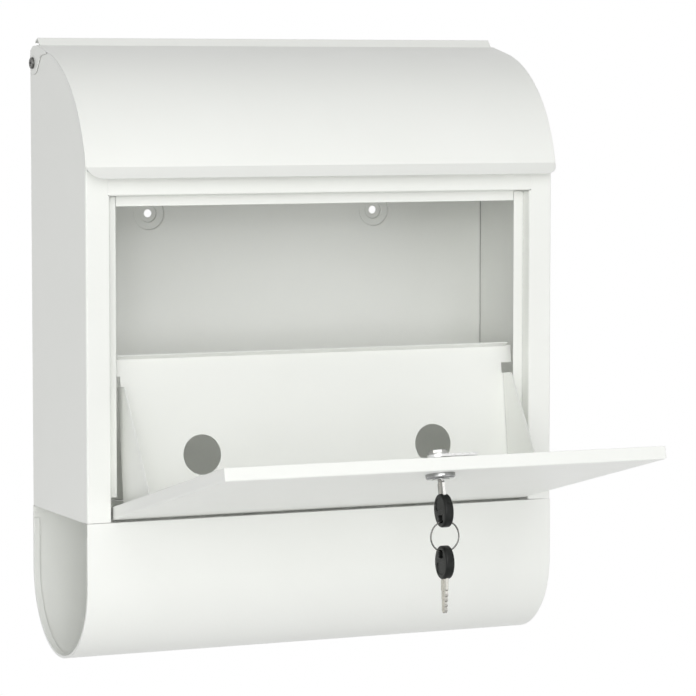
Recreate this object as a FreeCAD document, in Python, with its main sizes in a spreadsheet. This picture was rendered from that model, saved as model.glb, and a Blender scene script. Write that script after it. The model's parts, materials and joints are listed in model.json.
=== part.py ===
import FreeCAD, Part
import math
import os
import re
import Sketcher
from FreeCAD import Vector

# Wall letterbox of folded sheet steel with a lid, a drop-down door and an open newspaper trough.
# The pieces are drawn with y = 0 on the front of the frame and z = 0 at the foot of the stiles;
# the origin of the finished part is the middle of the four wall holes, on the wall.
SIZES = {
    "width": 380.0, "depth": 123.0, "sheet": 0.8, "bend": 1.6,
    "stile": 19.0, "opening_height": 239.0, "rebate": 10.6, "step": 8.0, "stop_foot_z": 17.0,
    "rail_height": 18.0, "weld_flange": 12.0, "seam": 0.3,
    "lid_overhang": 6.0, "lid_axis_back": 22.5, "lid_axis_rise": 0.8,
    "lid_front_angle": 169.0, "lid_rear_angle": 102.0, "lid_rear_back": 19.4, "side_back_drop": 3.0,
    "lip_drop": 7.8, "lip_reach": 8.6, "lip_corner": 10.0, "lid_gap": 0.7, "ear_gap": 0.3,
    "pivot_back": 10.0, "pivot_drop": 10.3, "pivot_radius": 2.5, "pivot_play": 0.05, "ear_back": 4.0,
    "screw_head_radius": 4.4, "screw_head": 1.5, "nut_width": 8.0, "nut_height": 4.0,
    "rain_apex_back": 14.7, "rain_apex_rise": 8.6, "rain_end_back": 9.6, "rain_end_rise": 5.4,
    "back_top_drop": 4.3, "back_flange": 6.0,
    "hole_spacing_x": 190.0, "hole_spacing_z": 175.0, "hole_low_z": 46.0, "hole_radius": 3.1,
    "dish_inner": 6.8, "dish_outer": 12.5, "dish_depth": 3.0,
    "trough_wall": 46.5, "hem": 4.8, "hem_gap": 0.35, "hem_start": 10.0,
    "floor_drop": 4.0, "sill_y": 10.5, "sill_flange": 5.5, "sill_relief": 8.0,
    "door_open": 76.7, "door_gap": 1.4, "door_setback": 0.5, "door_pan": 9.5,
    "door_bottom": 2.2, "door_top_gap": 1.8, "hinge_y": 7.0, "hinge_z": 7.0,
    "pin_radius": 2.0, "pin_play": 0.05, "pin_head_radius": 3.6, "pin_head": 1.6,
    "tray_tilt": 5.8, "tray_length": 112.5, "tray_inset": 12.0, "tab_inset": 5.0, "tab_start": 99.0,
    "notch": 2.0, "wing_end": 91.0, "wing_tip": 14.0, "wing_foot": 60.0, "access_radius": 15.0,
    "access_y": 38.8, "tray_lip": 6.2, "tray_lip_angle": 70.0, "tray_lip_inset": 5.0,
    "lock_inset": 20.0, "collar_radius": 10.5, "collar": 3.8, "barrel_radius": 8.0, "barrel": 11.0,
    "plug_radius": 6.0, "plug_play": 0.05, "plug_proud": 0.3, "lock_nut_width": 20.0, "lock_nut": 4.0,
    "lock_washer": 1.0, "lock_washer_radius": 11.5,
    "cam_reach": 27.5, "cam_width": 15.0, "cam_plate": 2.0, "cam_gap": 0.3, "cam_square": 7.0,
    "cam_screw_radius": 5.4, "cam_screw_head": 2.2,
    "key_width": 8.0, "key_plate": 2.0, "key_play": 0.1, "key_inside": 14.0, "key_exposed": 10.0,
    "key_buried": 12.0, "head_length": 23.5, "head_width": 20.0, "head_plate": 6.5, "head_corner": 9.0,
    "head_edge": 1.8, "slot_length": 6.0, "slot_width": 7.4, "slot_end": 5.8,
    "ring_radius": 10.8, "ring_wire": 0.6, "ring_rest": 1.4,
}
# Places and sizes that follow from the ones above.
FOLLOWING = {
    "lid_axis_y": "depth - lid_axis_back", "lid_axis_z": "opening_height + lid_axis_rise",
    "lid_radius": "lid_axis_y + lid_overhang", "lid_rear_y": "depth - lid_rear_back",
    "pivot_y": "depth - pivot_back", "pivot_z": "lid_axis_z + lid_radius - pivot_drop",
    "rain_apex_y": "depth - rain_apex_back", "rain_apex_z": "lid_axis_z + lid_radius + rain_apex_rise",
    "rain_end_y": "depth - rain_end_back", "rain_end_z": "lid_axis_z + lid_radius + rain_end_rise",
    "back_top_z": "lid_axis_z + lid_radius - back_top_drop",
    "tray_half": "width / 2 - stile - tray_inset", "tab_half": "width / 2 - stile - tab_inset",
}
NAMES = re.compile(r"[a-z_][a-z0-9_]*")
WALL_Y = "(depth - sheet + dish_depth)"
MID_Z = "(hole_low_z + hole_spacing_z / 2)"
HALF = "width / 2"
DOOR_HALF = "(width / 2 - stile - door_gap)"
DOOR_FACE = "(door_setback - hinge_y)"
DOOR_INNER = "(door_setback - hinge_y + sheet)"
DOOR_TOP = "(opening_height - door_top_gap - hinge_z)"
LOCK_Z = "(opening_height - door_top_gap - hinge_z - lock_inset)"
COLLAR_FACE = "(hinge_y - door_setback + collar)"

doc = FreeCAD.newDocument("letterbox")
sheet = doc.addObject("Spreadsheet::Sheet", "Sizes")
FORMULAS = {name: "=" + text for name, text in FOLLOWING.items()}
for row, (name, value) in enumerate({**SIZES, **FORMULAS}.items(), 1):
    sheet.set("A%d" % row, name)
    sheet.set("B%d" % row, str(value))
    sheet.setAlias("B%d" % row, name)
doc.recompute()


def bound(text):
    """The same formula with each named size read from the sheet."""
    known = {**SIZES, **FOLLOWING}
    return NAMES.sub(lambda m: "Sizes." + m.group(0) if m.group(0) in known else m.group(0), text)


def number(text):
    """The present value of a formula."""
    value = sheet.evalExpression(bound(text))
    return float(getattr(value, "Value", value))


def new_body(label, place):
    body = doc.addObject("PartDesign::Body", label)
    body.Label = label
    body.setExpression("Placement", place)
    return body


def place(y="0", z="0", angle="0", x="0"):
    """Placement formula for a piece whose own origin lies at x, y, z of the drawing frame."""
    return bound("placement(vector(%s; %s - %s; %s - %s); rotation(vector(1; 0; 0); %s))"
                 % (x, y, WALL_Y, z, MID_Z, angle))


BOX = place()
DOOR = place("hinge_y", "hinge_z", "door_open")
TRAY = place("hinge_y", "hinge_z", "door_open + tray_tilt")


def empty_sketch(body, name, role, start):
    sketch = body.newObject("Sketcher::SketchObject", name)
    plane = [item for item in body.Origin.OriginFeatures if item.Role == role][0]
    sketch.AttachmentSupport = [(plane, "")]
    sketch.MapMode = "FlatFace"
    sketch.setExpression("AttachmentOffset.Base.z", bound(start))
    return sketch


def pin_point(sketch, item, end, x, y):
    """Tie one end of a sketch line or arc, or a circle's centre, to two formulas."""
    for kind, text in (("DistanceX", x), ("DistanceY", y)):
        index = sketch.addConstraint(Sketcher.Constraint(kind, -1, 1, item, end, number(text)))
        sketch.setExpression("Constraints[%d]" % index, bound(text))


def rounded(corners):
    """Replace each corner that has a bend radius, between square neighbours, by two arc ends."""
    spots = [Vector(number(c[0]), number(c[1]), 0) for c in corners]
    out = []
    for i, corner in enumerate(corners):
        if len(corner) == 2:
            out.append((corner[0], corner[1], None))
            continue
        x, y, radius = corner
        ends = []
        for other in (spots[i - 1], spots[(i + 1) % len(spots)]):
            step = other - spots[i]
            if abs(step.x) > abs(step.y):
                ends.append(("%s %s %s" % (x, "+" if step.x > 0 else "-", radius), y))
            else:
                ends.append((x, "%s %s %s" % (y, "+" if step.y > 0 else "-", radius)))
        before = spots[i] - spots[i - 1]
        after = spots[(i + 1) % len(spots)] - spots[i]
        turn = 1 if before.cross(after).z > 0 else -1
        out.append((ends[0][0], ends[0][1], (radius, turn)))
        out.append((ends[1][0], ends[1][1], None))
    return out


def arc_between(start, end, radius, turn):
    """Arc from start to end; turn +1 runs anticlockwise, -1 clockwise."""
    chord = end - start
    half = chord.Length / 2
    rise = math.sqrt(max(radius * radius - half * half, 0.0))
    side = Vector(-chord.y, chord.x, 0).normalize()
    centre = (start + end) / 2 + side * rise * turn
    bulge = centre - side * radius * turn
    return Part.Arc(start, bulge, end)


def outline(body, name, role, corners, start="0"):
    """Closed sketch; a corner is (x, y), (x, y, bend radius) or (x, y, (arc radius, turn))."""
    sketch = empty_sketch(body, name, role, start)
    if any(len(c) == 3 and isinstance(c[2], tuple) for c in corners):
        plain = [c if len(c) == 3 else (c[0], c[1], None) for c in corners]
    else:
        plain = rounded(corners)
    spots = [Vector(number(c[0]), number(c[1]), 0) for c in plain]
    count = len(spots)
    ends = []
    for i, corner in enumerate(plain):
        here, there = spots[i], spots[(i + 1) % count]
        if corner[2] is None:
            sketch.addGeometry(Part.LineSegment(here, there))
            ends.append((1, 2))
        else:
            radius, turn = corner[2]
            sketch.addGeometry(arc_between(here, there, number(radius), turn))
            ends.append((1, 2) if turn > 0 else (2, 1))
    for i in range(count):
        after = (i + 1) % count
        sketch.addConstraint(Sketcher.Constraint("Coincident", i, ends[i][1], after, ends[after][0]))
    for i, corner in enumerate(plain):
        pin_point(sketch, i, ends[i][0], corner[0], corner[1])
    for i, corner in enumerate(plain):
        if corner[2] is not None:
            radius = corner[2][0]
            index = sketch.addConstraint(Sketcher.Constraint("Radius", i, number(radius)))
            sketch.setExpression("Constraints[%d]" % index, bound(radius))
    return sketch


def circles(body, name, role, spots, radius, start="0"):
    """Sketch of equal circles at the given centres."""
    sketch = empty_sketch(body, name, role, start)
    for i, (x, y) in enumerate(spots):
        centre = Vector(number(x), number(y), 0)
        sketch.addGeometry(Part.Circle(centre, Vector(0, 0, 1), number(radius)))
        pin_point(sketch, i, 3, x, y)
        index = sketch.addConstraint(Sketcher.Constraint("Radius", i, number(radius)))
        sketch.setExpression("Constraints[%d]" % index, bound(radius))
    return sketch


def pad(body, sketch, length, both=False):
    """Raise the sketch along its plane's normal, or half to each side."""
    feature = body.newObject("PartDesign::Pad", sketch.Name + "_pad")
    feature.Profile = sketch
    feature.setExpression("Length", bound(length))
    feature.SideType = "Symmetric" if both else "One side"
    sketch.Visibility = False
    doc.recompute()
    return feature


def pocket(body, sketch, length, both=False):
    """Cut the sketch along its plane's normal, or half to each side."""
    before = body.Shape.Volume
    feature = body.newObject("PartDesign::Pocket", sketch.Name + "_cut")
    feature.Profile = sketch
    feature.setExpression("Length", bound(length))
    feature.SideType = "Symmetric" if both else "One side"
    feature.Reversed = True
    sketch.Visibility = False
    doc.recompute()
    if body.Shape.Volume > before - 1e-6:
        raise RuntimeError(sketch.Name + " cuts nothing")
    return feature


def soften(body, radius, chosen):
    """Round the tip's edges that the test picks by their middle point and length."""
    tip = body.Tip
    picks = []
    for i, edge in enumerate(tip.Shape.Edges, 1):
        if chosen(edge):
            picks.append("Edge%d" % i)
    if not picks:
        raise RuntimeError("no edge to round on " + body.Label)
    feature = body.newObject("PartDesign::Fillet", body.Name + "_round")
    feature.Base = (tip, picks)
    feature.setExpression("Radius", bound(radius))
    doc.recompute()
    return feature


def middle(edge):
    return edge.valueAt((edge.FirstParameter + edge.LastParameter) / 2)


def mirrored(source, label):
    other = doc.addObject("Part::Mirroring", label)
    other.Label = label
    other.Source = source
    other.Base = Vector(0, 0, 0)
    other.Normal = Vector(1, 0, 0)
    doc.recompute()
    return other


def pair(source, label):
    """One node holding a piece and its mirror image on the other side."""
    other = mirrored(source, source.Name + "_mirror")
    group = doc.addObject("Part::Compound", label)
    group.Label = label
    group.Links = [source, other]
    doc.recompute()
    return group


def on_lid(radius, angle):
    """Point of the lid's arc at a radius and an angle from +y."""
    return ("lid_axis_y + (%s) * cos((%s) * 1deg)" % (radius, angle),
            "lid_axis_z + (%s) * sin((%s) * 1deg)" % (radius, angle))


def lid_line(depth_in, y):
    """Height of the lid's straight rear part, depth_in below its outer face, at y."""
    foot_y, foot_z = on_lid("lid_radius - (%s)" % depth_in, "lid_rear_angle")
    return "%s + ((%s) - (%s)) * tan((lid_rear_angle - 90) * 1deg)" % (foot_z, y, foot_y)


def make_side():
    """Side wall folded round to the rear flange, the front stile, the rebate and the door stop."""
    body = new_body("left_side", BOX)
    wall = "-" + HALF
    stile = "-" + HALF + " + stile"
    corners = [
        (wall, "depth", "bend"), (wall, "0", "bend"), (stile, "0", "bend"), (stile, "rebate"),
        (stile + " + step", "rebate"), (stile + " + step", "rebate + sheet"),
        (stile + " - sheet", "rebate + sheet", "bend"), (stile + " - sheet", "sheet"),
        (wall + " + sheet", "sheet"), (wall + " + sheet", "depth - sheet"),
        (wall + " + weld_flange", "depth - sheet"), (wall + " + weld_flange", "depth"),
    ]
    pad(body, outline(body, "side_plan", "XY_Plane", corners), "lid_axis_z + lid_radius")
    inner = "lid_radius - sheet - lid_gap"
    front = on_lid(inner, "lid_front_angle")
    rear = on_lid(inner, "lid_rear_angle")
    back = "depth + 5"
    above = "lid_axis_z + lid_radius + 20"
    corners = [
        (front[0], front[1], (inner, -1)), (rear[0], rear[1]),
        ("lid_rear_y", lid_line("sheet + lid_gap", "lid_rear_y")),
        (back, lid_line("sheet + lid_gap", "lid_rear_y") + " - side_back_drop"),
        (back, above), ("-20", above), ("-20", front[1]),
    ]
    pocket(body, outline(body, "side_top", "YZ_Plane", corners, "-width"), "2 * width")
    corners = [
        (stile + " - bend", "-5"), ("0", "-5"), ("0", "rebate + 5"), (stile + " - bend", "rebate + 5"),
    ]
    pocket(body, outline(body, "stile_top", "XY_Plane", corners, "opening_height"), "200")
    corners = [
        (wall + " + bend", "-5"), ("0", "-5"), ("0", "rebate + 5"), (wall + " + bend", "rebate + 5"),
    ]
    pocket(body, outline(body, "stile_end", "XY_Plane", corners, "opening_height + rail_height"), "200")
    corners = [
        (stile + " - sheet - 1", "bend"), (stile + " + step + 1", "bend"),
        (stile + " + step + 1", "rebate + 3"), (stile + " - sheet - 1", "rebate + 3"),
    ]
    pocket(body, outline(body, "stop_top", "XY_Plane", corners, "opening_height - 3 * seam"), "5")
    corners = [
        (stile, "rebate - 1"), (stile + " + step + 1", "rebate - 1"),
        (stile + " + step + 1", "rebate + 3"), (stile, "rebate + 3"),
    ]
    pocket(body, outline(body, "stop_foot", "XY_Plane", corners, "-1"), "stop_foot_z + 1")
    corners = [
        (wall + " + sheet / 2", "rebate + 3"), (wall + " + weld_flange", "rebate + 3"),
        (wall + " + weld_flange", "depth - 4"), (wall + " + sheet / 2", "depth - 4"),
    ]
    pad(body, outline(body, "side_foot", "XY_Plane", corners), "sheet")
    hole = circles(body, "hinge_hole", "YZ_Plane", [("hinge_y", "hinge_z")], "pin_radius + pin_play",
                   "-width / 2 + sheet + 5")
    pocket(body, hole, "stile")
    hole = circles(body, "lid_hole", "YZ_Plane", [("pivot_y", "pivot_z")], "pivot_radius", "-width / 2 - 1")
    pocket(body, hole, "5")
    return [body, mirrored(body, "right_side")]


def make_rail():
    """Front header over the door opening, with the same rebate and stop as the stiles."""
    body = new_body("top_rail", BOX)
    span = "(width / 2 - stile + bend)"
    top = "opening_height + rail_height"
    corners = [
        ("0", "opening_height", "bend"), ("0", top, "bend"), ("weld_flange", top),
        ("weld_flange", top + " - sheet"), ("sheet", top + " - sheet"), ("sheet", "opening_height + sheet"),
        ("rebate + sheet", "opening_height + sheet"), ("rebate + sheet", "opening_height"),
    ]
    pad(body, outline(body, "rail_section", "YZ_Plane", corners), "2 * " + span, True)
    stop = "(width / 2 - stile - step - seam)"
    corners = [
        ("rebate", "opening_height - step"), ("rebate + sheet", "opening_height - step"),
        ("rebate + sheet", "opening_height + sheet / 2"), ("rebate", "opening_height + sheet / 2"),
    ]
    pad(body, outline(body, "rail_stop", "YZ_Plane", corners), "2 * " + stop, True)
    for name, sign in (("left", "-"), ("right", "")):
        near = "%s(%s - weld_flange)" % (sign, span)
        far = "%s(%s + weld_flange)" % (sign, span)
        corners = [
            (near, "opening_height + bend + seam"), (far, "opening_height + bend + seam"),
            (far, top + " - bend"), (near, top + " - bend"),
        ]
        pad(body, outline(body, "rail_weld_" + name, "XZ_Plane", corners, "-2 * sheet"), "sheet")
    return [body]


def make_back():
    """Back panel with a flange folded forward under the lid and four dished wall holes."""
    body = new_body("back_panel", BOX)
    front = "depth - 2 * sheet"
    rear = "depth - sheet"
    corners = [
        (rear, "0"), (rear, "back_top_z", "bend"), (rear + " - back_flange", "back_top_z"),
        (rear + " - back_flange", "back_top_z - sheet"), (front, "back_top_z - sheet"), (front, "0"),
    ]
    pad(body, outline(body, "back_section", "YZ_Plane", corners), "width - 2 * sheet - 2 * seam", True)
    spots = []
    for x in ("-hole_spacing_x / 2", "hole_spacing_x / 2"):
        for z in ("hole_low_z", "hole_low_z + hole_spacing_z"):
            spots.append((x, z))
    steps = (("dish_outer", "dish_depth / 2"), ("dish_inner", "dish_depth"))
    for name, depth in steps:
        start = "-(%s + %s)" % (rear, depth)
        boss = circles(body, name + "_wall", "XZ_Plane", spots, name + " + sheet", start)
        pad(body, boss, depth + " + sheet / 2")
    for name, depth in steps:
        start = "-(%s + %s)" % (front, depth)
        pocket(body, circles(body, name + "_well", "XZ_Plane", spots, name, start), depth + " + 5")
    sketch = circles(body, "wall_hole", "XZ_Plane", spots, "hole_radius", "-(%s + dish_depth + 1)" % rear)
    pocket(body, sketch, "10")
    rims = [(number(name), number(level)) for name, level in (
        ("dish_outer", front), ("dish_inner", front + " + dish_depth / 2"))]
    soften(body, "0.7 * sheet", lambda e: any(
        abs(getattr(e.Curve, "Radius", 0) - radius) < 1e-3 and abs(middle(e).y - level) < 1e-3
        for radius, level in rims))
    return [body]


def make_floor():
    """Floor between letter box and trough, joggled down at the front to let the door swing."""
    body = new_body("floor_plate", BOX)
    rear = "depth - sheet"
    corners = [
        (rear, "-sill_flange"), (rear, "0", "bend"), ("sill_y", "0", "bend"), ("sill_y", "-floor_drop"),
        ("sheet", "-floor_drop", "bend"), ("sheet", "-floor_drop - sill_flange"),
        ("2 * sheet", "-floor_drop - sill_flange"), ("2 * sheet", "-floor_drop - sheet"),
        ("sill_y + sheet", "-floor_drop - sheet", "bend"), ("sill_y + sheet", "-sheet"),
        (rear + " - sheet", "-sheet"), (rear + " - sheet", "-sill_flange"),
    ]
    pad(body, outline(body, "floor_section", "YZ_Plane", corners), "width - 2 * sheet - 2 * seam", True)
    top, low = "-bend", "-floor_drop - sill_flange - 1"
    for name, sign in (("left", "-"), ("right", "")):
        outer = "%s(width / 2)" % sign
        inner = "%s(width / 2 - sill_relief)" % sign
        corners = [(outer, low), (inner, low), (inner, top), (outer, top)]
        relief = outline(body, "sill_relief_" + name, "XZ_Plane", corners, "-(sill_y + 2 * bend)")
        pocket(body, relief, "sill_y + 4 * bend")
    return [body]


def trough_corners(inset, top):
    """Outline of a band one sheet thick, inset from the trough's outer face, ending at top."""
    low = "-trough_wall"
    middle_y = "depth / 2"
    outer = "(depth / 2 - (%s))" % inset
    inner = "(depth / 2 - (%s) - sheet)" % inset
    return [
        (inset, top), (inset, low, (outer, 1)), (middle_y, low + " - " + outer, (outer, 1)),
        ("depth - (%s)" % inset, low), ("depth - (%s)" % inset, top),
        ("depth - (%s) - sheet" % inset, top), ("depth - (%s) - sheet" % inset, low, (inner, -1)),
        (middle_y, low + " - " + inner, (inner, -1)), ("%s + sheet" % inset, low),
        ("%s + sheet" % inset, top),
    ]


def make_trough():
    """Newspaper holder: one sheet bent to a U, open at both ends, each end hemmed inwards."""
    body = new_body("newspaper_holder", BOX)
    pad(body, outline(body, "trough_section", "YZ_Plane", trough_corners("0", "-seam")), "width", True)
    fold = trough_corners("sheet + hem_gap", "-hem_start")
    joint = trough_corners("0.6 * sheet", "-hem_start")
    ends = (("left", "-width / 2", "-width / 2"), ("right", "width / 2 - hem", "width / 2 - sheet"))
    for name, start, start_joint in ends:
        pad(body, outline(body, "hem_joint_" + name, "YZ_Plane", joint, start_joint), "sheet")
        pad(body, outline(body, "hem_" + name, "YZ_Plane", fold, start), "hem")
    return [body]


def make_lid():
    """Quarter-round lid with a flared front lip, a folded rain edge and two ears for the pivots."""
    body = new_body("lid", BOX)
    half = "(width / 2 + ear_gap + sheet)"
    inner = "lid_radius - sheet"
    front = on_lid("lid_radius", "lid_front_angle")
    front_in = on_lid(inner, "lid_front_angle")
    rear = on_lid("lid_radius", "lid_rear_angle")
    rear_in = on_lid(inner, "lid_rear_angle")
    lip = ("%s - lip_reach" % front[0], "%s - lip_drop" % front[1])
    slope = "sqrt(lip_drop ^ 2 + lip_reach ^ 2)"
    corner = "(lip_corner ^ 2 + lip_drop ^ 2) / (2 * lip_drop)"
    corners = [
        (front[0], front[1], ("lid_radius", -1)), (rear[0], rear[1]),
        ("lid_rear_y", lid_line("0", "lid_rear_y")),
        ("lid_rear_y", lid_line("sheet", "lid_rear_y")),
        (rear_in[0], rear_in[1], (inner, 1)), (front_in[0], front_in[1]),
        (lip[0] + " + sheet * lip_drop / %s" % slope, lip[1] + " - sheet * lip_reach / %s" % slope),
        (lip[0], lip[1]),
    ]
    pad(body, outline(body, "lid_section", "YZ_Plane", corners), "2 * " + half, True)
    foot = lid_line("0", "lid_rear_y")
    corners = [
        ("lid_rear_y - sheet", lid_line("0", "lid_rear_y - sheet")), ("rain_apex_y", "rain_apex_z"),
        ("rain_end_y", "rain_end_z"), ("rain_end_y - sheet / 2", "rain_end_z - 0.9 * sheet"),
        ("rain_apex_y + sheet / 5", "rain_apex_z - 1.3 * sheet"),
        ("lid_rear_y + sheet / 3", foot + " - sheet"),
        ("lid_rear_y - sheet", lid_line("sheet", "lid_rear_y - sheet")),
    ]
    pad(body, outline(body, "rain_edge", "YZ_Plane", corners), "width - 2 * sheet - 2 * seam", True)
    for name, sign, turn in (("left", "-", 1), ("right", "", -1)):
        edge = "%s(%s)" % (sign, half)
        inward = "%s(%s - lip_corner)" % (sign, half)
        outward = "%s(%s + 5)" % (sign, half)
        corners = [
            (edge, lip[1] + " + lip_drop", (corner, turn)), (inward, lip[1]),
            (inward, lip[1] + " - 5"), (outward, lip[1] + " - 5"),
            (outward, lip[1] + " + lip_drop"),
        ]
        pocket(body, outline(body, "lip_corner_" + name, "XZ_Plane", corners), "40")
    mid = "pivot_y - 1"
    top = lid_line("sheet / 2", "lid_rear_y")
    back = "(depth - ear_back)"
    base = "(pivot_z - 8.5)"
    corners = [
        ("pivot_y - 29", lid_line("sheet / 2", "pivot_y - 29")), ("lid_rear_y", top),
        (back + " - 9", top, ("9", -1)), (back, top + " - 9"), (back, base + " + 6", ("6", -1)),
        (back + " - 6", base), (mid, base, ("10", -1)), (mid + " - 8.8", base + " + 5.25"),
        (mid + " - 13", base + " + 10.6", ("8", 1)), (mid + " - 19.5", base + " + 14.4"),
        ("pivot_y - 29", base + " + 15.2"),
    ]
    for name, start in (("left", "-" + half), ("right", half + " - sheet")):
        pad(body, outline(body, "lid_ear_" + name, "YZ_Plane", corners, start), "sheet")
    spot = [("pivot_y", "pivot_z")]
    hole = circles(body, "ear_hole", "YZ_Plane", spot, "pivot_radius + pivot_play", "-width")
    pocket(body, hole, "2 * width")
    return [body]


def hexagon(width, y, z):
    """Corners of a hexagon of a given width across its flats."""
    out = []
    for i in range(6):
        angle = "%d * 1deg" % (60 * i + 30)
        reach = "(%s) / sqrt(3)" % width
        out.append(("%s + %s * cos(%s)" % (y, reach, angle), "%s + %s * sin(%s)" % (z, reach, angle)))
    return out


def make_pivots():
    """Cross-recess screws through the lid's ears, each with a nut inside the wall."""
    spot = [("pivot_y", "pivot_z")]
    body = new_body("lid_screw", BOX)
    under = "(width / 2 + 2 * ear_gap + sheet)"
    shank = circles(body, "screw_shank", "YZ_Plane", spot, "pivot_radius", "-" + under)
    pad(body, shank, under + " - width / 2 + sheet + nut_height + 1")
    head = circles(body, "screw_top", "YZ_Plane", spot, "screw_head_radius", "-(%s + screw_head)" % under)
    pad(body, head, "screw_head")
    outer = -number(under + " + screw_head")
    soften(body, "screw_head * 0.6", lambda e: abs(middle(e).x - outer) < 1e-3)
    wide, thin = "screw_head_radius * 0.55", "0.55"
    for name, dy, dz in (("recess_flat", wide, thin), ("recess_upright", thin, wide)):
        corners = [
            ("pivot_y - " + dy, "pivot_z - " + dz), ("pivot_y + " + dy, "pivot_z - " + dz),
            ("pivot_y + " + dy, "pivot_z + " + dz), ("pivot_y - " + dy, "pivot_z + " + dz),
        ]
        pocket(body, outline(body, name, "YZ_Plane", corners, "-(%s + screw_head + 1)" % under), "2.2")
    nut = new_body("lid_nut", BOX)
    corners = hexagon("nut_width", "pivot_y", "pivot_z")
    pad(nut, outline(nut, "nut_section", "YZ_Plane", corners, "-width / 2 + sheet"), "nut_height")
    pocket(nut, circles(nut, "nut_bore", "YZ_Plane", spot, "pivot_radius", "-width / 2"), "10")
    return [pair(body, "lid_screws"), pair(nut, "lid_nuts")]


def make_door():
    """Shallow door pan; its own axes lie on the hinge line with the door upright."""
    body = new_body("door", DOOR)
    low = "(door_bottom - hinge_z)"
    corners = [
        ("-" + DOOR_HALF, low), (DOOR_HALF, low), (DOOR_HALF, DOOR_TOP), ("-" + DOOR_HALF, DOOR_TOP),
    ]
    pad(body, outline(body, "door_block", "XZ_Plane", corners, "-(%s + door_pan)" % DOOR_FACE), "door_pan")
    face = number(DOOR_FACE)
    soften(body, "bend", lambda e: abs(middle(e).y - face) < 1e-3)
    corners = [
        ("-%s + sheet" % DOOR_HALF, low + " + sheet"), (DOOR_HALF + " - sheet", low + " + sheet"),
        (DOOR_HALF + " - sheet", DOOR_TOP + " - sheet"), ("-%s + sheet" % DOOR_HALF, DOOR_TOP + " - sheet"),
    ]
    pocket(body, outline(body, "door_inside", "XZ_Plane", corners, "-(%s + door_pan + 1)" % DOOR_FACE),
           "door_pan - sheet + 1")
    hole = circles(body, "lock_hole", "XZ_Plane", [("0", LOCK_Z)], "barrel_radius", "0")
    pocket(body, hole, "20")
    hole = circles(body, "pin_hole", "YZ_Plane", [("0", "0")], "pin_radius", "-width")
    pocket(body, hole, "2 * width")
    return [body]


def make_pins():
    """Headed hinge pins, held in the door's side flanges and turning in the stiles."""
    body = new_body("hinge_pin", DOOR)
    inner = "(width / 2 - stile - door_gap - sheet)"
    head = circles(body, "pin_top", "YZ_Plane", [("0", "0")], "pin_head_radius", "-" + inner)
    pad(body, head, "pin_head")
    rim = -number(inner + " - pin_head")
    soften(body, "pin_head / 2", lambda e: abs(middle(e).x - rim) < 1e-3)
    end = "(width / 2 - stile + sheet + 2.5)"
    shank = circles(body, "pin_shank", "YZ_Plane", [("0", "0")], "pin_radius", "-" + end)
    pad(body, shank, "%s - %s + pin_head / 2" % (end, inner))
    return [pair(body, "hinge_pins")]


def on_door(height, lift="0"):
    """Distance along the tray of the door's inner face, or of lift above it, at a height over the panel."""
    return "(%s + %s + (%s) * sin(tray_tilt * 1deg)) / cos(tray_tilt * 1deg)" % (DOOR_INNER, lift, height)


def make_tray():
    """Floor tray welded to the door nearly square: panel, two wings, corner tabs, rear lip, access holes."""
    body = new_body("tray", TRAY)
    half = "sheet / 2"
    face = on_door(half)
    corners = [
        ("-tray_half", face), ("tray_half", face), ("tray_half", "wing_end"),
        ("tray_half - notch", "wing_end"), ("tray_half - notch", "tab_start"),
        ("tab_half", "tab_start"), ("tab_half", "tray_length"),
        ("-tab_half", "tray_length"), ("-tab_half", "tab_start"), ("-tray_half + notch", "tab_start"),
        ("-tray_half + notch", "wing_end"), ("-tray_half", "wing_end"),
    ]
    pad(body, outline(body, "tray_panel", "XY_Plane", corners, "-" + half), "sheet")
    corners = [
        (on_door(half), "-" + half), ("wing_end", "-" + half), ("wing_end", "wing_tip - 2.5", ("4", 1)),
        ("wing_end - 2.25", "wing_tip + 1.1"), (on_door("wing_foot"), "wing_foot"), (on_door(half), half),
    ]
    for name, start in (("left", "-tray_half"), ("right", "tray_half - sheet")):
        pad(body, outline(body, "wing_" + name, "YZ_Plane", corners, start), "sheet")
    strips = (
        ("wing_weld_left", "wing_foot - 1", "-tray_half", "weld_flange"),
        ("wing_weld_right", "wing_foot - 1", "tray_half - weld_flange", "weld_flange"),
        ("front_weld", "weld_flange", "-tray_half", "2 * tray_half"),
    )
    for name, top, start, span in strips:
        corners = [
            (on_door(half), half), (on_door(top), top),
            (on_door(top, "sheet"), top), (on_door(half, "sheet"), half),
        ]
        pad(body, outline(body, name, "YZ_Plane", corners, start), span)
    away = ("cos(tray_lip_angle * 1deg)", "sin(tray_lip_angle * 1deg)")
    corners = [
        ("tray_length - sheet", "-" + half), ("tray_length", "-" + half),
        ("tray_length + tray_lip * %s" % away[0], "tray_lip * %s - %s" % (away[1], half)),
        ("tray_length + tray_lip * %s - sheet * %s" % (away[0], away[1]),
         "tray_lip * %s - %s + sheet * %s" % (away[1], half, away[0])),
        ("tray_length - sheet", half),
    ]
    pad(body, outline(body, "tray_lip", "YZ_Plane", corners), "2 * (tab_half - tray_lip_inset)", True)
    spots = [("-hole_spacing_x / 2", "access_y"), ("hole_spacing_x / 2", "access_y")]
    pocket(body, circles(body, "access_hole", "XY_Plane", spots, "access_radius", "-5"), "10")
    return [body]


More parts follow.
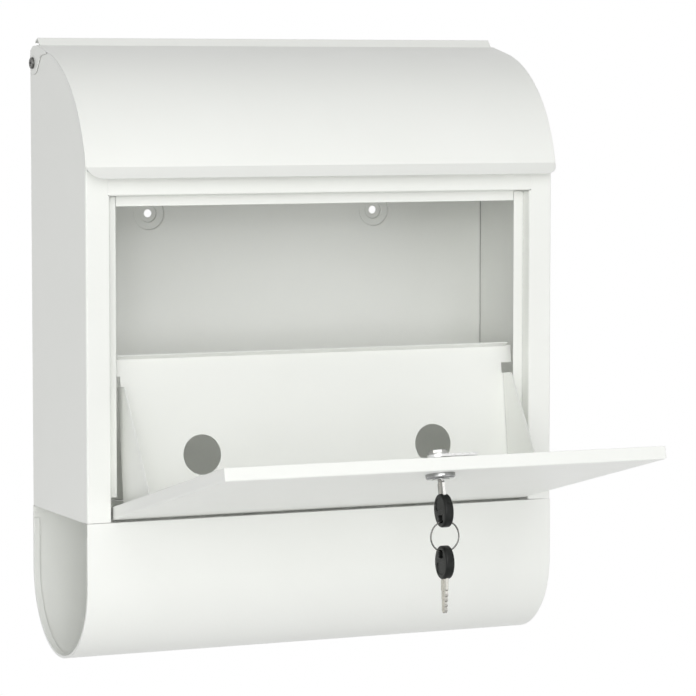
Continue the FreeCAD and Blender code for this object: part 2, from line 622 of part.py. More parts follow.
def make_lock():
    """Cam lock of the door: housing, washer, nut, turning plug, cam and its screw."""
    spot = [("0", LOCK_Z)]
    out = []
    body = new_body("lock_housing", DOOR)
    pad(body, circles(body, "collar", "XZ_Plane", spot, "collar_radius", "-" + DOOR_FACE), "collar")
    rim = -number(COLLAR_FACE)
    soften(body, "collar * 0.45", lambda e: abs(middle(e).y - rim) < 1e-3)
    barrel = circles(body, "barrel", "XZ_Plane", spot, "barrel_radius", "-(%s + barrel)" % DOOR_FACE)
    pad(body, barrel, "barrel + collar / 2")
    bore = circles(body, "plug_bore", "XZ_Plane", spot, "plug_radius + plug_play", "-60")
    pocket(body, bore, "120")
    out.append(body)
    body = new_body("lock_washer", DOOR)
    seat = "(%s + lock_washer)" % DOOR_INNER
    pad(body, circles(body, "washer", "XZ_Plane", spot, "lock_washer_radius", "-" + seat), "lock_washer")
    pocket(body, circles(body, "washer_bore", "XZ_Plane", spot, "barrel_radius", "-60"), "120")
    out.append(body)
    body = new_body("lock_nut", DOOR)
    corners = hexagon("lock_nut_width", "0", LOCK_Z)
    pad(body, outline(body, "lock_hex", "XZ_Plane", corners, "-(%s + lock_nut)" % seat), "lock_nut")
    pocket(body, circles(body, "nut_thread", "XZ_Plane", spot, "barrel_radius", "-60"), "120")
    out.append(body)
    body = new_body("lock_plug", DOOR)
    end = "(%s + barrel)" % DOOR_FACE
    plug_length = "%s + plug_proud + %s" % (end, COLLAR_FACE)
    pad(body, circles(body, "plug", "XZ_Plane", spot, "plug_radius", "-" + end), plug_length)
    side = "cam_square / 2"
    square = [
        ("-" + side, LOCK_Z + " - " + side), (side, LOCK_Z + " - " + side),
        (side, LOCK_Z + " + " + side), ("-" + side, LOCK_Z + " + " + side),
    ]
    seat = "(%s + cam_gap + cam_plate)" % end
    pad(body, outline(body, "plug_tail", "XZ_Plane", square, "-" + seat), "cam_gap + cam_plate + 1")
    wide, thin = "(key_width / 2 + key_play)", "(key_plate / 2 + key_play)"
    slot = [
        ("-" + thin, LOCK_Z + " - " + wide), (thin, LOCK_Z + " - " + wide),
        (thin, LOCK_Z + " + " + wide), ("-" + thin, LOCK_Z + " + " + wide),
    ]
    depth_in = "(key_inside + 0.5)"
    keyway = outline(body, "keyway", "XZ_Plane", slot, "%s + plug_proud - %s" % (COLLAR_FACE, depth_in))
    pocket(body, keyway, depth_in + " + 5")
    out.append(body)
    body = new_body("lock_cam", DOOR)
    hand = "cam_width / 2"
    heel = "(cam_width / 2 - 0.5)"
    corners = [
        ("-" + hand, LOCK_Z + " - " + hand, heel), ("cam_reach", LOCK_Z + " - " + hand, "2"),
        ("cam_reach", LOCK_Z + " + " + hand, "2"), ("-" + hand, LOCK_Z + " + " + hand, heel),
    ]
    pad(body, outline(body, "cam", "XZ_Plane", corners, "-%s" % seat), "cam_plate")
    pocket(body, outline(body, "cam_seat", "XZ_Plane", square, "-60"), "120")
    out.append(body)
    body = new_body("cam_screw", DOOR)
    pad(body, circles(body, "cam_top", "XZ_Plane", spot, "cam_screw_radius + 2", "-(%s + 1)" % seat), "1")
    corners = hexagon("2 * cam_screw_radius", "0", LOCK_Z)
    hexagon_top = "-(%s + 1 + cam_screw_head)" % seat
    pad(body, outline(body, "cam_hex", "XZ_Plane", corners, hexagon_top), "cam_screw_head")
    out.append(body)
    return out


def blade(label, placement, tip, root):
    """Flat key blade along y from its tip to its root, with a bullet point and a waist."""
    body = new_body(label, placement)
    wide = "key_width / 2"
    corners = [
        (root, "-" + wide), (root, wide), ("%s - 9" % tip, wide), ("%s - 8" % tip, wide + " - 1"),
        ("%s - 5" % tip, wide + " - 1"), ("%s - 4" % tip, wide + " - 0.4"), ("%s - 2" % tip, wide + " - 1.2"),
        (tip, "1"), (tip, "-1"), ("%s - 2" % tip, "-%s + 1.2" % wide), ("%s - 4" % tip, "-%s + 0.4" % wide),
        ("%s - 5" % tip, "-%s + 1" % wide), ("%s - 8" % tip, "-%s + 1" % wide), ("%s - 9" % tip, "-" + wide),
    ]
    pad(body, outline(body, label + "_flat", "YZ_Plane", corners), "key_plate", True)
    return body


def grip(label, placement, root):
    """Oval key grip along -y from its root, with a slot near its far end and a seat for the blade."""
    body = new_body(label, placement)
    wide = "head_width / 2"
    far = "(%s - head_length)" % root
    corners = [
        (root, "-" + wide, "head_corner"), (root, wide, "head_corner"), (far, wide, "head_corner"),
        (far, "-" + wide, "head_corner"),
    ]
    pad(body, outline(body, label + "_oval", "YZ_Plane", corners), "head_plate", True)
    soften(body, "head_edge", lambda e: abs(abs(middle(e).x) - number("head_plate / 2")) < 1e-3)
    along = "slot_length / 2"
    across = "slot_width / 2"
    spot = "(%s + slot_end)" % far
    bend = "slot_length * 0.3"
    corners = [
        (spot + " - " + along, "-" + across, bend), (spot + " + " + along, "-" + across, bend),
        (spot + " + " + along, across, bend), (spot + " - " + along, across, bend),
    ]
    pocket(body, outline(body, label + "_slot", "YZ_Plane", corners), "2 * head_plate", True)
    corners = [
        ("-key_plate / 2", "-key_width / 2"), ("key_plate / 2", "-key_width / 2"),
        ("key_plate / 2", "key_width / 2"), ("-key_plate / 2", "key_width / 2"),
    ]
    pocket(body, outline(body, label + "_seat", "XZ_Plane", corners, "-(%s) - 1" % root), "key_buried + 1")
    return body


def make_keys():
    """Key in the lock, split ring through its grip and a spare key hanging from the ring."""
    turn = ("cos(door_open * 1deg)", "sin(door_open * 1deg)")
    lock_y = "(hinge_y - %s * %s)" % (LOCK_Z, turn[1])
    lock_z = "(hinge_z + %s * %s)" % (LOCK_Z, turn[0])
    held = place(lock_y, lock_z, "door_open")
    root = "(-%s - plug_proud - key_exposed)" % COLLAR_FACE
    tip = "(-%s - plug_proud + key_inside)" % COLLAR_FACE
    out = [blade("key_blade", held, tip, root + " - key_buried"), grip("key_grip", held, root)]
    eye = "(%s - head_length + slot_end - ring_rest)" % root
    eye_y = "(%s + %s * %s)" % (lock_y, eye, turn[0])
    eye_z = "(%s + %s * %s)" % (lock_z, eye, turn[1])
    ring = doc.addObject("Part::Torus", "key_ring")
    ring.Label = "key_ring"
    ring.setExpression("Radius1", bound("ring_radius"))
    ring.setExpression("Radius2", bound("ring_wire"))
    ring.setExpression("Placement", place(eye_y, eye_z + " - ring_radius", "90"))
    out.append(ring)
    hang = place(eye_y, eye_z + " - 2 * ring_radius - ring_rest", "-90")
    shift = "(head_length - slot_end)"
    out.append(blade("spare_key_blade", hang, shift + " + key_inside + key_exposed", shift + " - key_buried"))
    out.append(grip("spare_key_grip", hang, shift))
    return out


MAKERS = (
    make_side, make_rail, make_back, make_floor, make_trough, make_lid, make_pivots,
    make_door, make_pins, make_tray, make_lock, make_keys,
)
nodes = []
for maker in MAKERS:
    nodes.extend(maker())
doc.recompute()

for item in doc.Objects:
    if "Invalid" in item.State or "Error" in item.State:
        raise RuntimeError("%s failed: %s" % (item.Label, item.State))
for node in nodes:
    if node.Shape.isNull() or not node.Shape.isValid():
        raise RuntimeError("bad shape: " + node.Label)

os.makedirs("parts", exist_ok=True)
for node in nodes:
    node.Shape.exportStep("parts/%s.step" % node.Label)
    print("%-18s solids %d volume %9.1f" % (node.Label, len(node.Shape.Solids), node.Shape.Volume))
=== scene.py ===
import json
import math

import bmesh
import bpy
from mathutils import Matrix, Vector


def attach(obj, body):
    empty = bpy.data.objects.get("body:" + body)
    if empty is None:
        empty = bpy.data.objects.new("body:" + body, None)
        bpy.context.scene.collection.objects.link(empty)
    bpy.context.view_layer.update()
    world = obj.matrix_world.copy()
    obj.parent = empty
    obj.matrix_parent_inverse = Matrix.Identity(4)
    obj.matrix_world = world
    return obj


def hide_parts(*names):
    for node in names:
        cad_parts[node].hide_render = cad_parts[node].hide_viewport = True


# Wall letterbox in white powder coat: its door hangs open with the tray on it, and a key is in the lock.
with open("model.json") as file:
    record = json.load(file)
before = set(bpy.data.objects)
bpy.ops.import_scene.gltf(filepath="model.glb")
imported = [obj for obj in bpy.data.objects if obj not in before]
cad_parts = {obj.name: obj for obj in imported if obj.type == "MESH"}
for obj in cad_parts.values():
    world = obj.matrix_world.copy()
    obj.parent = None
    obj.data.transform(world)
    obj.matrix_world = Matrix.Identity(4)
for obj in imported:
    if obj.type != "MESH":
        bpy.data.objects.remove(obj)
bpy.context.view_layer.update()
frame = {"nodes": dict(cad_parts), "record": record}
scene = bpy.context.scene
nodes = frame["nodes"]

MM = 0.001
# The door hangs open by this much; the lock and the key in it lean with it.
DOOR_OPEN = math.radians(76.7)
# Middle of the lock on the door's hinge plane, and the eye where the split ring hangs in the key.
LOCK = Vector((0, -322.762, -78.144)) * MM
RING_EYE = Vector((0, -331.895, -116.779)) * MM

# Key sizes in millimetres: the slot's middle is the key's own origin, and the blade points along y.
HEAD_LENGTH, HEAD_WIDTH, HEAD_HALF = 23.5, 20.0, 3.25
HEAD_RIM, HEAD_ROUND = 1.6, 1.25
SLOT_END, SLOT_LENGTH, SLOT_WIDTH, SLOT_CORNER = 5.8, 6.0, 7.4, 1.8
SLOT_EASE, SLOT_TAPER = 0.5, 0.93
PANEL_WIDTH, PANEL_LENGTH, PANEL_CORNER, PANEL_MIDDLE = 13.0, 8.2, 3.4, 10.2
PANEL_DEPTH, PANEL_TAPER = 0.6, 0.94
BLADE_ROOT, BLADE_LENGTH, BLADE_HALF, BLADE_SIDE = 11.5, 24.0, 1.0, 4.0
GROOVE_LOW, GROOVE_HIGH, GROOVE_DEPTH = -0.9, 1.3, 0.45
# Upright faces further out than this belong to the blade's edge, and nearer ones to the groove.
EDGE_START = 1.4
# Edges of the blade, each point as its place across the blade and its distance back from the point.
CUT_EDGE = ((4, 17), (3.1, 16), (3.1, 14), (3.7, 12.8), (2.5, 11.4), (2.5, 10.6), (3.2, 9.4), (1.9, 7.8),
            (1.9, 7), (2.9, 5.6), (2.2, 4.4), (2.7, 3.4), (2.6, 2), (2.0, 0.9), (1.0, 0.2))
PLAIN_EDGE = ((0, 0), (-1.0, 0.2), (-2.0, 0.9), (-2.6, 2), (-2.6, 9), (-3.1, 10), (-3.1, 15), (-4, 16))
# The slot stands this far out from the lock's middle while the key is in.
KEY_REACH = 38.3

# Split ring: its radius, its wire's half width and half thickness, and how far it rests from the slot's middle.
RING_RADIUS, RING_WIRE, RING_LEAF, RING_REST = 10.8, 0.55, 0.3, 1.4
RING_TURNS, RING_STEPS, RING_ENDS = 1.96, 180, math.radians(12)

# Thread on the lock's barrel: the height, root and half width are its ridge's, and the steps are each turn's.
THREAD_RADIUS, THREAD_START, THREAD_PITCH, THREAD_TURNS = 8.0, -0.1, 1.0, 4
THREAD_HEIGHT, THREAD_ROOT, THREAD_HALF, THREAD_STEPS = 0.38, -0.1, 0.45, 40

# Studio sizes in metres.
FLOOR_MIDDLE, FLOOR_RADIUS = Vector((0, -0.15, -0.75)), 1.6
FLOOR_GLOW, FLOOR_FADE_START, FLOOR_FADE_END = 0.16, 0.5, 1.5
WORLD_FILL = 0.39
LAMP_AIM = Vector((0, -0.15, 0))
# Each lamp's place, width and power.
LAMPS = {
    "left_softbox": ((-1.9, -1.9, 0.3), 1.6, 10.5),
    "front_softbox": ((-1.1, -2.6, 0.2), 1.0, 13),
    "high_softbox": ((-0.3, -2.6, 1.2), 1.6, 20.5),
    "right_softbox": ((1.5, -2.2, -0.8), 1.6, 5.6),
    "back_softbox": ((0.8, 2.3, -0.2), 1.0, 13),
}
CAMERA_PLACE, CAMERA_DOWN, CAMERA_RIGHT = (-1.00884, -2.4259, 0.18661), 4.49, 24.06
CAMERA_LENS, CAMERA_SENSOR, CAMERA_FAR = 173.73, 36.0, 50.0


# Finishes

def new_finish(name):
    """Empty node tree of a finish with its shader and the object's own coordinates."""
    finish = bpy.data.materials.new(name)
    finish.use_nodes = True
    tree = finish.node_tree
    shader = tree.nodes["Principled BSDF"]
    place = tree.nodes.new("ShaderNodeTexCoord").outputs["Object"]
    return finish, tree, shader, place


def grain(tree, place, scale, detail=2.0, stretch=(1, 1, 1)):
    """Noise at a scale per metre, made finer along an axis by stretch."""
    mapping = tree.nodes.new("ShaderNodeMapping")
    mapping.inputs["Scale"].default_value = stretch
    tree.links.new(place, mapping.inputs["Vector"])
    noise = tree.nodes.new("ShaderNodeTexNoise")
    noise.inputs["Scale"].default_value = scale
    noise.inputs["Detail"].default_value = detail
    tree.links.new(mapping.outputs["Vector"], noise.inputs["Vector"])
    return noise.outputs["Fac"]


def spread(tree, value, low, high, start=0.3, end=0.7):
    """Map the stretch of a value from start to end onto a range."""
    node = tree.nodes.new("ShaderNodeMapRange")
    node.inputs["From Min"].default_value = start
    node.inputs["From Max"].default_value = end
    node.inputs["To Min"].default_value = low
    node.inputs["To Max"].default_value = high
    tree.links.new(value, node.inputs["Value"])
    return node.outputs["Result"]


def colour_mix(tree, factor):
    """Mix of two colours by a factor, its colours still to be given."""
    node = tree.nodes.new("ShaderNodeMix")
    node.data_type = "RGBA"
    tree.links.new(factor, node.inputs["Factor"])
    return node


def tint(tree, value, dark, light, start=0.3, end=0.7):
    """Colour between two tones as a value goes from start to end."""
    node = colour_mix(tree, spread(tree, value, 0, 1, start, end))
    node.inputs["A"].default_value = (*dark, 1)
    node.inputs["B"].default_value = (*light, 1)
    return node.outputs["Result"]


def relief(tree, height, strength, depth, under=None):
    """Bump of a real depth in metres, over another bump or rounded edge if given."""
    node = tree.nodes.new("ShaderNodeBump")
    node.inputs["Strength"].default_value = strength
    node.inputs["Distance"].default_value = depth
    tree.links.new(height, node.inputs["Height"])
    if under is not None:
        tree.links.new(under, node.inputs["Normal"])
    return node.outputs["Normal"]


def soft_edge(tree, radius):
    """Rounded look of a bent or sprayed edge."""
    node = tree.nodes.new("ShaderNodeBevel")
    node.samples = 4
    node.inputs["Radius"].default_value = radius
    return node.outputs["Normal"]


def worn_edge_and_painted_highlight(tree, colour, pale, reach):
    """Paler colour along bends and cut edges: partly wear where the surface is rubbed smooth, partly a painted
    highlight where edges catch the light.
    """
    flat = tree.nodes.new("ShaderNodeNewGeometry")
    turn = tree.nodes.new("ShaderNodeVectorMath")
    turn.operation = "DOT_PRODUCT"
    tree.links.new(soft_edge(tree, reach), turn.inputs[0])
    tree.links.new(flat.outputs["True Normal"], turn.inputs[1])
    node = colour_mix(tree, spread(tree, turn.outputs["Value"], 1, 0, start=0.8, end=0.98))
    tree.links.new(colour, node.inputs["A"])
    node.inputs["B"].default_value = (*pale, 1)
    return node.outputs["Result"]


def painted_seam_shade(tree, colour, dark, reach):
    """Painted shade: darker colour deep in seams and slits, where little light reaches."""
    open_air = tree.nodes.new("ShaderNodeAmbientOcclusion")
    open_air.samples = 6
    open_air.inputs["Distance"].default_value = reach
    node = colour_mix(tree, spread(tree, open_air.outputs["AO"], 0, 1, start=0.15, end=0.6))
    node.inputs["A"].default_value = (*dark, 1)
    tree.links.new(colour, node.inputs["B"])
    return node.outputs["Result"]


def dress_shader(tree, shader, colour, roughness, normal):
    """Lead a finish's colour, roughness and relief into its shader."""
    for socket, value in (("Base Color", colour), ("Roughness", roughness), ("Normal", normal)):
        tree.links.new(value, shader.inputs[socket])


def powder_coat():
    """White sprayed powder coat: fine orange peel, faint clouding, paler edges that are partly wear and partly
    painted highlight, and painted shade in the seams.
    """
    finish, tree, shader, place = new_finish("white_powder_coat")
    clouds = grain(tree, place, scale=14, detail=3)
    coat = tint(tree, clouds, dark=(0.906, 0.919, 0.882), light=(0.927, 0.938, 0.904), start=0.2, end=0.8)
    # Paler edges, partly wear and partly a painted highlight.
    edged = worn_edge_and_painted_highlight(tree, coat, pale=(0.96, 0.963, 0.945), reach=0.0009)
    # Painted shade: the coat darkens towards grey deep in seams and slits.
    shaded = painted_seam_shade(tree, edged, dark=(0.3, 0.31, 0.29), reach=0.003)
    gloss = spread(tree, grain(tree, place, scale=55), 0.32, 0.4)
    peel = relief(tree, grain(tree, place, scale=650, detail=1), strength=0.10, depth=0.0004,
                  under=soft_edge(tree, 0.0007))
    sheet = relief(tree, grain(tree, place, scale=6, detail=1), strength=0.25, depth=0.0015, under=peel)
    dress_shader(tree, shader, shaded, gloss, sheet)
    shader.inputs["Specular IOR Level"].default_value = 0.36
    return finish


def zinc_plate():
    """Zinc plated steel: greyish, blotchy sheen."""
    finish, tree, shader, place = new_finish("zinc_plate")
    blotch = grain(tree, place, scale=160, detail=4)
    colour = tint(tree, blotch, dark=(0.31, 0.31, 0.30), light=(0.50, 0.50, 0.485))
    gloss = spread(tree, grain(tree, place, scale=420), 0.28, 0.46)
    skin = relief(tree, grain(tree, place, scale=900), strength=0.15, depth=0.0002,
                  under=soft_edge(tree, 0.0003))
    dress_shader(tree, shader, colour, gloss, skin)
    shader.inputs["Metallic"].default_value = 1.0
    return finish


def bright_chrome():
    """Bright plated lock body with faint hairlines."""
    finish, tree, shader, place = new_finish("bright_chrome")
    blotch = grain(tree, place, scale=90, detail=3)
    colour = tint(tree, blotch, dark=(0.26, 0.265, 0.26), light=(0.37, 0.375, 0.37))
    gloss = spread(tree, grain(tree, place, scale=1400, stretch=(1, 1, 6)), 0.07, 0.17)
    skin = relief(tree, grain(tree, place, scale=500), strength=0.05, depth=0.0001,
                  under=soft_edge(tree, 0.0004))
    dress_shader(tree, shader, colour, gloss, skin)
    shader.inputs["Metallic"].default_value = 1.0
    return finish


def worked_metal(name, dark, light, scale, detail, stretch, smooth, rough, strength, edge=None):
    """Metal whose drawing, rolling or milling marks give it its tone, gloss and fine relief."""
    finish, tree, shader, place = new_finish(name)
    marks = grain(tree, place, scale, detail, stretch)
    rounded = None if edge is None else soft_edge(tree, edge)
    skin = relief(tree, marks, strength, depth=0.0001, under=rounded)
    dress_shader(tree, shader, tint(tree, marks, dark, light), spread(tree, marks, smooth, rough), skin)
    shader.inputs["Metallic"].default_value = 1.0
    return finish


def key_nickel(name, dark, light):
    """Nickel plated key steel, drawn along the blade."""
    return worked_metal(name, dark, light, scale=700, detail=3, stretch=(6, 6, 0.6), smooth=0.2, rough=0.36,
                        strength=0.12, edge=0.0002)


def milled_edge(name, dark, light):
    """Milled edge of a key blade."""
    return worked_metal(name, dark, light, scale=1200, detail=2, stretch=(1, 1, 4), smooth=0.16, rough=0.3,
                        strength=0.08, edge=0.0002)


def cam_zinc_painted_highlight():
    """Zinc of the stamped lock cam, lightly rolled; its pale tone is a painted highlight, far paler than the
    other zinc parts.
    """
    return worked_metal("cam_zinc_painted_highlight", dark=(0.68, 0.685, 0.68), light=(0.84, 0.84, 0.83),
                        scale=300, detail=3, stretch=(1, 5, 5), smooth=0.22, rough=0.38,
                        strength=0.1, edge=0.0003)


def screw_steel():
    """Darkened steel of the lid screws."""
    return worked_metal("dark_screw_steel", dark=(0.07, 0.07, 0.065), light=(0.2, 0.2, 0.19),
                        scale=500, detail=3, stretch=(1, 1, 1), smooth=0.3, rough=0.45,
                        strength=0.1, edge=0.0003)


def spring_wire():
    """Drawn spring wire of the split ring, darker than the keys."""
    return worked_metal("spring_wire", dark=(0.10, 0.10, 0.095), light=(0.22, 0.22, 0.21),
                        scale=900, detail=3, stretch=(1, 6, 1), smooth=0.18, rough=0.3, strength=0.1)


def black_grip():
    """Black moulded plastic with a fine satin texture."""
    finish, tree, shader, place = new_finish("black_moulded_grip")
    handled = grain(tree, place, scale=220, detail=3)
    plastic = tint(tree, handled, dark=(0.005, 0.006, 0.005), light=(0.012, 0.013, 0.012))
    # Paler edges on the grip, partly wear and partly a painted highlight.
    edged = worn_edge_and_painted_highlight(tree, plastic, pale=(0.04, 0.042, 0.04), reach=0.0006)
    satin = relief(tree, grain(tree, place, scale=2200), strength=0.12, depth=0.0001)
    dress_shader(tree, shader, edged, spread(tree, handled, 0.26, 0.42), satin)
    shader.inputs["Specular IOR Level"].default_value = 0.22
    return finish


finishes = {
    "white_coat": powder_coat(),
    "zinc_steel": zinc_plate(),
    "lock_chrome": bright_chrome(),
    "key_nickel": key_nickel("key_nickel", dark=(0.31, 0.305, 0.29), light=(0.40, 0.395, 0.375)),
    "black_grip": black_grip(),
}
# The lock cam gets a paler copy of the zinc, a painted highlight.
node_finishes = {"lid_screws": screw_steel(), "lock_cam": cam_zinc_painted_highlight()}
# Painted highlight: the key in the lock gets a far paler milled edge than the spare key, standing in for the
# bright reflection along its edge.
key_edge_painted_highlight = milled_edge("milled_key_edge", dark=(0.80, 0.795, 0.77), light=(0.93, 0.925, 0.90))
spare_face = key_nickel("rubbed_nickel", dark=(0.48, 0.47, 0.435), light=(0.62, 0.605, 0.56))
spare_edge = milled_edge("milled_spare_edge", dark=(0.40, 0.395, 0.365), light=(0.54, 0.53, 0.495))


def dress_solids():
    """Give every solid of the frame its own finish, or else the finish of its slot."""
    for part in frame["record"]["subparts"]:
        mesh = nodes[part["node"]].data
        mesh.materials.clear()
        mesh.materials.append(node_finishes.get(part["node"], finishes[part["material_slot"]]))


# Shaped pieces

def new_piece(name, bm, body, coats, place, crease):
    """Turn a bmesh drawn in millimetres into a piece of the object that rides on a body."""
    bmesh.ops.remove_doubles(bm, verts=bm.verts, dist=1e-4)
    bmesh.ops.recalc_face_normals(bm, faces=bm.faces)
    bmesh.ops.transform(bm, matrix=Matrix.Scale(MM, 4), verts=bm.verts)
    bmesh.ops.transform(bm, matrix=place, verts=bm.verts)
    if bm.calc_volume(signed=True) < 0:
        bmesh.ops.reverse_faces(bm, faces=bm.faces)
    mesh = bpy.data.meshes.new(name)
    bm.to_mesh(mesh)
    bm.free()
    mesh.shade_smooth()
    mesh.set_sharp_from_angle(angle=math.radians(crease))
    for coat in coats:
        mesh.materials.append(coat)
    piece = bpy.data.objects.new(name, mesh)
    scene.collection.objects.link(piece)
    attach(piece, body)
    return piece


def whole(bm):
    """All corners, edges and faces of a bmesh."""
    return bm.verts[:] + bm.edges[:] + bm.faces[:]


def only(kind, made):
    """The items of one kind in what an operator made."""
    return [item for item in made if isinstance(item, kind)]


def rounded_plate(bm, width, length, corner, middle, steps):
    """Flat plate with rounded corners in the xy plane, its middle along y given."""
    made = bmesh.ops.create_grid(bm, x_segments=1, y_segments=1, size=0.5)["verts"]
    bmesh.ops.scale(bm, vec=(width, length, 1), verts=made)
    bmesh.ops.translate(bm, vec=(0, middle, 0), verts=made)
    rounded = bmesh.ops.bevel(bm, geom=made, offset=corner, offset_type="OFFSET", segments=steps, profile=0.5,
                              affect="VERTICES", material=-1)
    return rounded["verts"][0].link_faces[0]


def open_loop(bm, face):
    """Remove a face and keep its outline."""
    edges = list(face.edges)
    bmesh.ops.delete(bm, geom=[face], context="FACES_ONLY")
    return edges


def draw_in(bm, edges, drop, squeeze=1, middle=0):
    """Carry an outline down by drop and in towards its middle; returns the new outline."""
    made = bmesh.ops.extrude_edge_only(bm, edges=edges)["geom"]
    verts = only(bmesh.types.BMVert, made)
    bmesh.ops.translate(bm, vec=(0, 0, -drop), verts=verts)
    bmesh.ops.scale(bm, vec=(squeeze, squeeze, 1), space=Matrix.Translation((0, -middle, 0)), verts=verts)
    return only(bmesh.types.BMEdge, made)


def turned(degrees, axis):
    """Turn about an axis by an angle in degrees."""
    return Matrix.Rotation(math.radians(degrees), 4, axis)


LOCK_PLACE = Matrix.Translation(LOCK) @ Matrix.Rotation(DOOR_OPEN, 4, "X")
KEY_IN_LOCK = LOCK_PLACE @ Matrix.Translation((0, -KEY_REACH * MM, 0)) @ turned(90, "Y")
SPARE_KEY = (Matrix.Translation(RING_EYE - Vector((0, 0, 2 * RING_RADIUS + RING_REST)) * MM)
             @ turned(-90, "X") @ turned(90, "Y"))


def key_head(name, node, body, place):
    """Oval moulded grip with a rounded rim, a slot for the ring and a sunk panel on each face."""
    bm = bmesh.new()
    oval = bmesh.ops.create_circle(bm, cap_ends=True, segments=64, radius=0.5)["verts"]
    bmesh.ops.scale(bm, vec=(HEAD_WIDTH, HEAD_LENGTH, 1), verts=oval)
    bmesh.ops.translate(bm, vec=(0, HEAD_LENGTH / 2 - SLOT_END, 0), verts=oval)
    plate = oval[0].link_faces[0]
    bmesh.ops.inset_region(bm, faces=[plate], thickness=HEAD_RIM, use_even_offset=True)
    inner = open_loop(bm, plate)
    slot_edges = open_loop(bm, rounded_plate(bm, SLOT_WIDTH, SLOT_LENGTH, SLOT_CORNER, 0, 5))
    panel_edges = open_loop(bm, rounded_plate(bm, PANEL_WIDTH, PANEL_LENGTH, PANEL_CORNER, PANEL_MIDDLE, 6))
    bmesh.ops.triangle_fill(bm, edges=inner + slot_edges + panel_edges, use_beauty=True)
    bmesh.ops.translate(bm, vec=(0, 0, HEAD_HALF), verts=bm.verts)
    sunk = draw_in(bm, panel_edges, PANEL_DEPTH, PANEL_TAPER, PANEL_MIDDLE)
    bmesh.ops.edgeloop_fill(bm, edges=sunk)
    eased = draw_in(bm, slot_edges, SLOT_EASE, SLOT_TAPER)
    draw_in(bm, eased, HEAD_HALF - SLOT_EASE)
    rim = [edge for edge in bm.edges if edge.is_boundary and edge.verts[0].co.z > HEAD_HALF - 0.01]
    draw_in(bm, rim, HEAD_HALF)
    bmesh.ops.bevel(bm, geom=rim, offset=HEAD_ROUND, offset_type="OFFSET", segments=5, profile=0.5,
                    affect="EDGES", material=-1)
    bmesh.ops.mirror(bm, geom=whole(bm), axis="Z", merge_dist=1e-3)
    piece = new_piece(name, bm, body, [finishes["black_grip"]], place, crease=35)
    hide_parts(node)


def key_blade(name, node, body, place, face_finish, edge_finish):
    """Flat blade with a milled groove on each side, cuts along one edge and a blunt point."""
    bm = bmesh.new()
    root = HEAD_LENGTH - SLOT_END - BLADE_ROOT
    tip = HEAD_LENGTH - SLOT_END + BLADE_LENGTH
    outline = [(x, tip - back) for x, back in CUT_EDGE + PLAIN_EDGE]
    outline = [(BLADE_SIDE, root), *outline, (-BLADE_SIDE, root)]
    top = bm.faces.new([bm.verts.new((x, y, BLADE_HALF)) for x, y in outline])
    bottom = bmesh.ops.extrude_face_region(bm, geom=[top], use_keep_orig=True)["geom"]
    bmesh.ops.translate(bm, vec=(0, 0, -2 * BLADE_HALF), verts=only(bmesh.types.BMVert, bottom))
    for side in (GROOVE_LOW, GROOVE_HIGH):
        bmesh.ops.bisect_plane(bm, geom=whole(bm), dist=1e-4, plane_co=(side, 0, 0), plane_no=(1, 0, 0))
    bm.normal_update()
    for side in (1, -1):
        strip = [face for face in bm.faces
                 if abs(face.calc_center_median().z - side * BLADE_HALF) < 1e-3
                 and GROOVE_LOW < face.calc_center_median().x < GROOVE_HIGH]
        grooved = bmesh.ops.extrude_face_region(bm, geom=strip)["geom"]
        bmesh.ops.delete(bm, geom=strip, context="FACES_ONLY")
        bmesh.ops.translate(bm, vec=(0, 0, -GROOVE_DEPTH * side), verts=only(bmesh.types.BMVert, grooved))
    bm.normal_update()
    for face in bm.faces:
        upright = abs(face.normal.z) < 0.5
        face.material_index = int(upright and abs(face.calc_center_median().x) > EDGE_START)
    piece = new_piece(name, bm, body, [face_finish, edge_finish], place, crease=25)
    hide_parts(node)


def lock_thread():
    """Thread on the lock's barrel between its nut and the cam."""
    bm = bmesh.new()
    ridge = ((THREAD_ROOT, -THREAD_HALF), (THREAD_HEIGHT, 0), (THREAD_ROOT, THREAD_HALF))
    bm.faces.new([bm.verts.new((THREAD_RADIUS + reach, THREAD_START + along, 0)) for reach, along in ridge])
    bmesh.ops.spin(bm, geom=whole(bm), cent=(0, 0, 0), axis=(0, 1, 0), dvec=(0, THREAD_PITCH / THREAD_STEPS, 0),
                   angle=THREAD_TURNS * 2 * math.pi, steps=THREAD_TURNS * THREAD_STEPS)
    new_piece("lock_thread", bm, "door", [finishes["lock_chrome"]], LOCK_PLACE, crease=50)


def split_ring():
    """Ring of flattened spring wire wound twice, its ends showing at the side."""
    bm = bmesh.new()
    wire = bmesh.ops.create_circle(bm, cap_ends=True, segments=12, radius=1)["verts"]
    bmesh.ops.scale(bm, vec=(RING_WIRE, RING_LEAF, 1), verts=wire)
    bmesh.ops.rotate(bm, matrix=Matrix.Rotation(math.radians(90), 3, "X"), verts=wire)
    bmesh.ops.translate(bm, vec=(RING_RADIUS, 0, -RING_LEAF), verts=wire)
    bmesh.ops.spin(bm, geom=whole(bm), cent=(0, 0, 0), axis=(0, 0, 1), dvec=(0, 0, 2 * RING_LEAF / RING_STEPS),
                   angle=RING_TURNS * 2 * math.pi, steps=RING_STEPS)
    place = (Matrix.Translation(RING_EYE - Vector((0, 0, RING_RADIUS)) * MM)
             @ turned(90, "X") @ Matrix.Rotation(RING_ENDS, 4, "Z"))
    piece = new_piece("split_ring", bm, "ring", [spring_wire()], place, crease=50)
    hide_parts("key_ring")


# Studio

def shader_mix(tree, factor, first, second):
    """Mix of two shaders by a factor."""
    mix = tree.nodes.new("ShaderNodeMixShader")
    for socket, value in enumerate((factor, first, second)):
        tree.links.new(value, mix.inputs[socket])
    return mix.outputs[0]


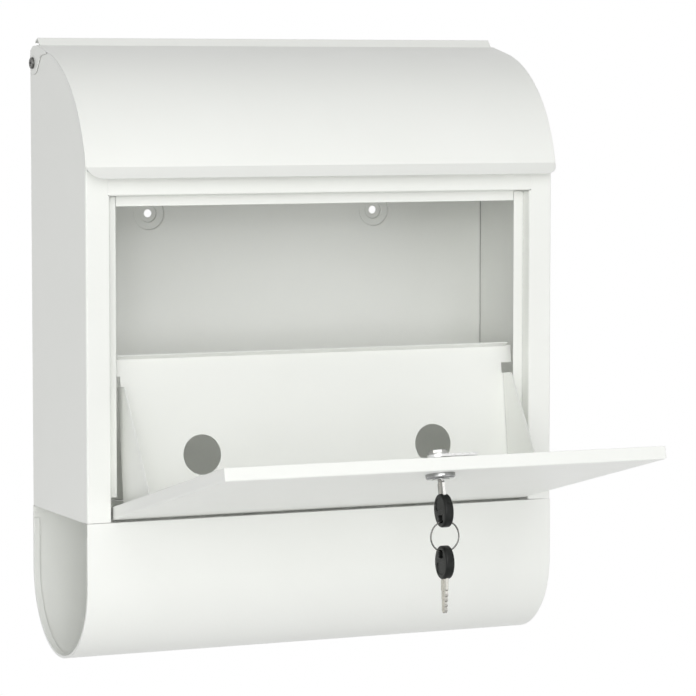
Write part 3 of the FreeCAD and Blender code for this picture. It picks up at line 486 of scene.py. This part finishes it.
def whitened(tree, shader_out, white):
    """Show plain white to the camera and in reflections, and the given shader to everything else."""
    path = tree.nodes.new("ShaderNodeLightPath")
    seen = path.outputs["Is Camera Ray"]
    for name in ("Is Glossy Ray", "Is Transmission Ray"):
        most = tree.nodes.new("ShaderNodeMath")
        most.operation = "MAXIMUM"
        tree.links.new(seen, most.inputs[0])
        tree.links.new(path.outputs[name], most.inputs[1])
        seen = most.outputs[0]
    return shader_mix(tree, seen, shader_out, white)


def make_world():
    """Soft white fill from all round, plain white where it is seen."""
    world = bpy.data.worlds.new("studio")
    scene.world = world
    world.use_nodes = True
    tree = world.node_tree
    fill = tree.nodes["Background"]
    fill.inputs["Color"].default_value = (1, 1, 1, 1)
    fill.inputs["Strength"].default_value = WORLD_FILL
    white = tree.nodes.new("ShaderNodeBackground")
    white.inputs["Color"].default_value = (1, 1, 1, 1)
    shown = whitened(tree, fill.outputs[0], white.outputs[0])
    tree.links.new(shown, tree.nodes["World Output"].inputs["Surface"])


def make_floor():
    """Pale round floor well below the hung box, fading to white at its rim."""
    mesh = bpy.data.meshes.new("studio_floor")
    bm = bmesh.new()
    bmesh.ops.create_circle(bm, cap_ends=True, segments=96, radius=FLOOR_RADIUS,
                            matrix=Matrix.Translation(FLOOR_MIDDLE))
    bm.to_mesh(mesh)
    bm.free()
    floor = bpy.data.objects.new("studio_floor", mesh)
    scene.collection.objects.link(floor)
    finish, tree, shader, place = new_finish("pale_floor")
    shader.inputs["Base Color"].default_value = (0.86, 0.86, 0.86, 1)
    shader.inputs["Roughness"].default_value = 0.8
    mapping = tree.nodes.new("ShaderNodeMapping")
    mapping.inputs["Location"].default_value = -FLOOR_MIDDLE
    tree.links.new(place, mapping.inputs["Vector"])
    outward = tree.nodes.new("ShaderNodeVectorMath")
    outward.operation = "LENGTH"
    tree.links.new(mapping.outputs["Vector"], outward.inputs[0])
    white = tree.nodes.new("ShaderNodeEmission")
    fade = spread(tree, outward.outputs["Value"], FLOOR_GLOW, 1, FLOOR_FADE_START, FLOOR_FADE_END)
    shown = shader_mix(tree, fade, shader.outputs[0], white.outputs[0])
    tree.links.new(shown, tree.nodes["Material Output"].inputs["Surface"])
    mesh.materials.append(finish)


def make_lamps():
    """Square softboxes turned to the middle of the box."""
    for name, (spot, width, power) in LAMPS.items():
        lamp = bpy.data.lights.new(name, "AREA")
        lamp.size = width
        lamp.energy = power
        holder = bpy.data.objects.new(name, lamp)
        holder.location = spot
        holder.rotation_euler = (LAMP_AIM - Vector(spot)).to_track_quat("-Z", "Y").to_euler()
        scene.collection.objects.link(holder)


def make_camera():
    """Camera at the photograph's viewing angle."""
    camera = bpy.data.cameras.new("photo_camera")
    camera.sensor_width = CAMERA_SENSOR
    camera.lens = CAMERA_LENS
    camera.clip_end = CAMERA_FAR
    holder = bpy.data.objects.new("photo_camera", camera)
    holder.location = CAMERA_PLACE
    holder.rotation_euler = (math.radians(90 - CAMERA_DOWN), 0, math.radians(-CAMERA_RIGHT))
    scene.collection.objects.link(holder)
    scene.camera = holder


dress_solids()
key_head("key_head", "key_grip", "key", KEY_IN_LOCK)
key_blade("key_bit", "key_blade", "key", KEY_IN_LOCK, finishes["key_nickel"], key_edge_painted_highlight)
split_ring()
lock_thread()
key_head("spare_key_head", "spare_key_grip", "spare_key", SPARE_KEY)
key_blade("spare_key_bit", "spare_key_blade", "spare_key", SPARE_KEY, spare_face, spare_edge)
make_world()
make_floor()
make_lamps()
make_camera()
scene.view_settings.view_transform = "Standard"
